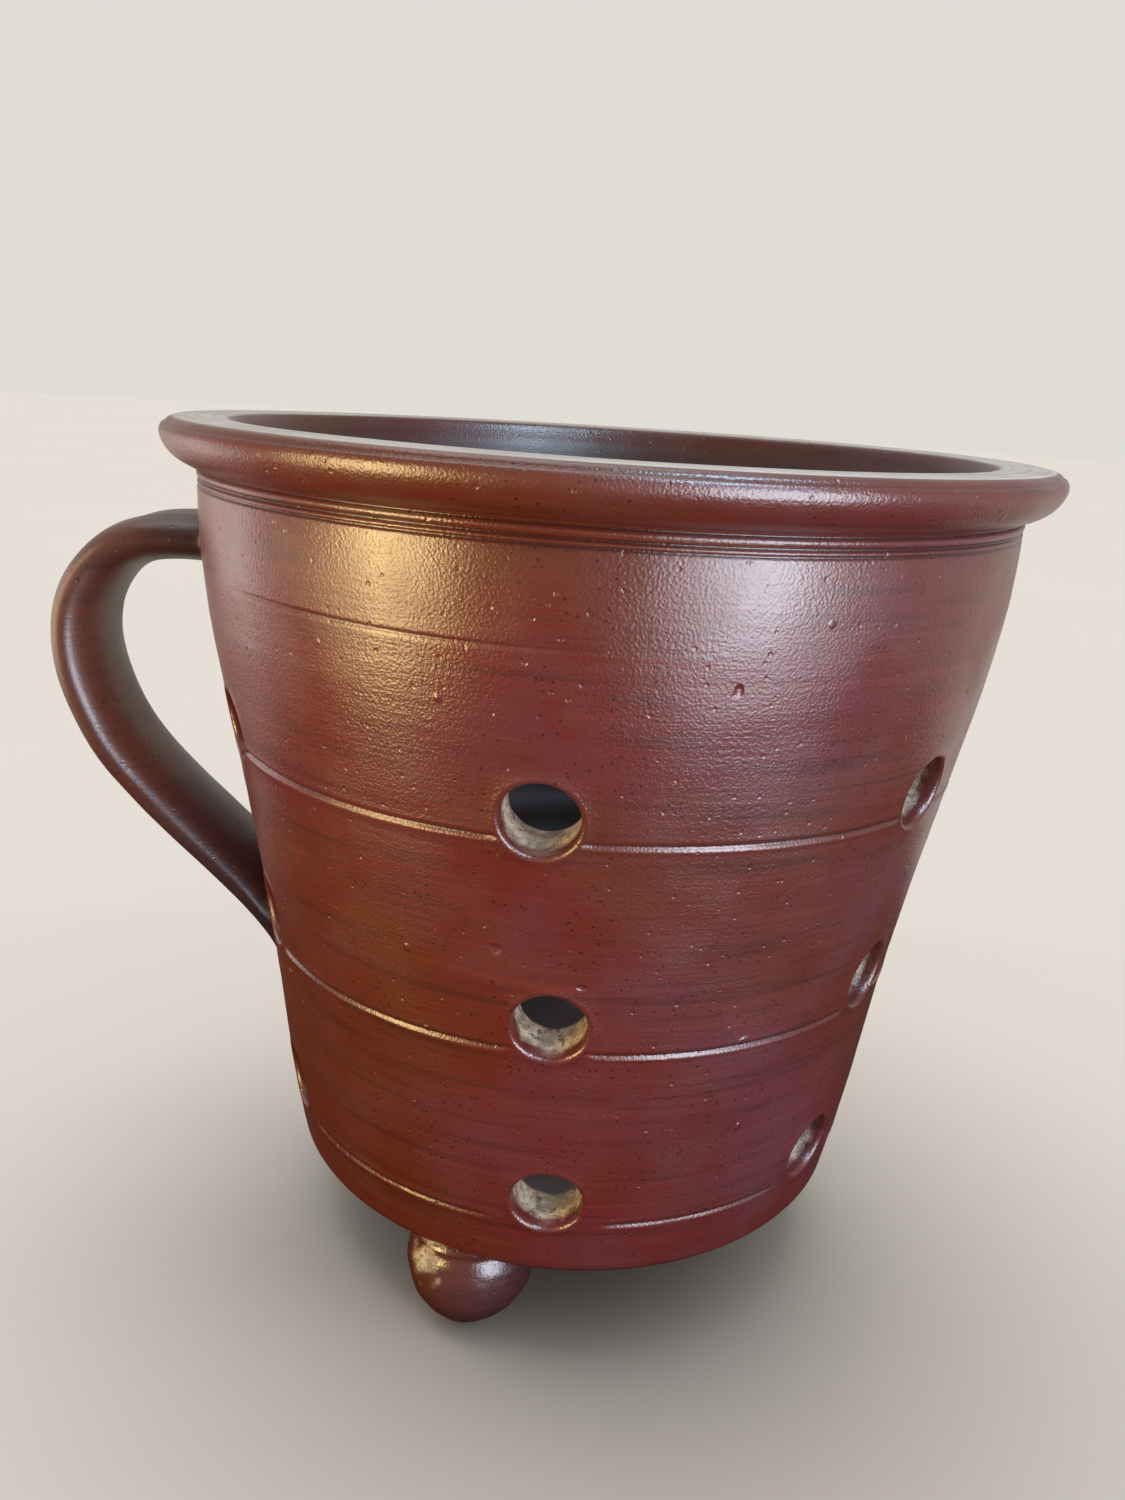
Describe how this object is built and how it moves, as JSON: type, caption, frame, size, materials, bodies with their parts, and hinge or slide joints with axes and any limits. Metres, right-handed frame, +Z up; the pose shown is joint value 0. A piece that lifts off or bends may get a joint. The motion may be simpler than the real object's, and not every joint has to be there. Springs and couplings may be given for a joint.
{
  "type": "stoneware draining pot",
  "caption": "Tapered stoneware draining pot with a rolled rim, rows of round drain holes, a strap handle and ball feet; holds wet utensils while water runs out.",
  "frame": {"origin": "in the plane that the three feet stand on, under the centre of the whole pot's box, handle included; the vessel's own axis is vertical, 14.15 mm along +X from the origin", "axes": "+Z up out of the pot's mouth, -X towards the handle, -Y towards the middle column of drain holes on the shown side"},
  "size_m": [0.1924, 0.164, 0.1647],
  "materials": {
    "vessel_glaze": "satin red-brown salt glaze with fine orange-peel texture, raw grey-beige clay in the drain holes",
    "handle_glaze": "smooth dark brown salt glaze, bluish sheen along the strap",
    "foot_glaze": "glossy dark brown salt glaze with a bare orange-brown patch where it stood in the kiln"
  },
  "bodies": {
    "root": {"vessel": "vessel_glaze", "handle": "handle_glaze", "foot_front": "foot_glaze", "foot_right": "foot_glaze", "foot_back": "foot_glaze"}
  },
  "joints": []
}
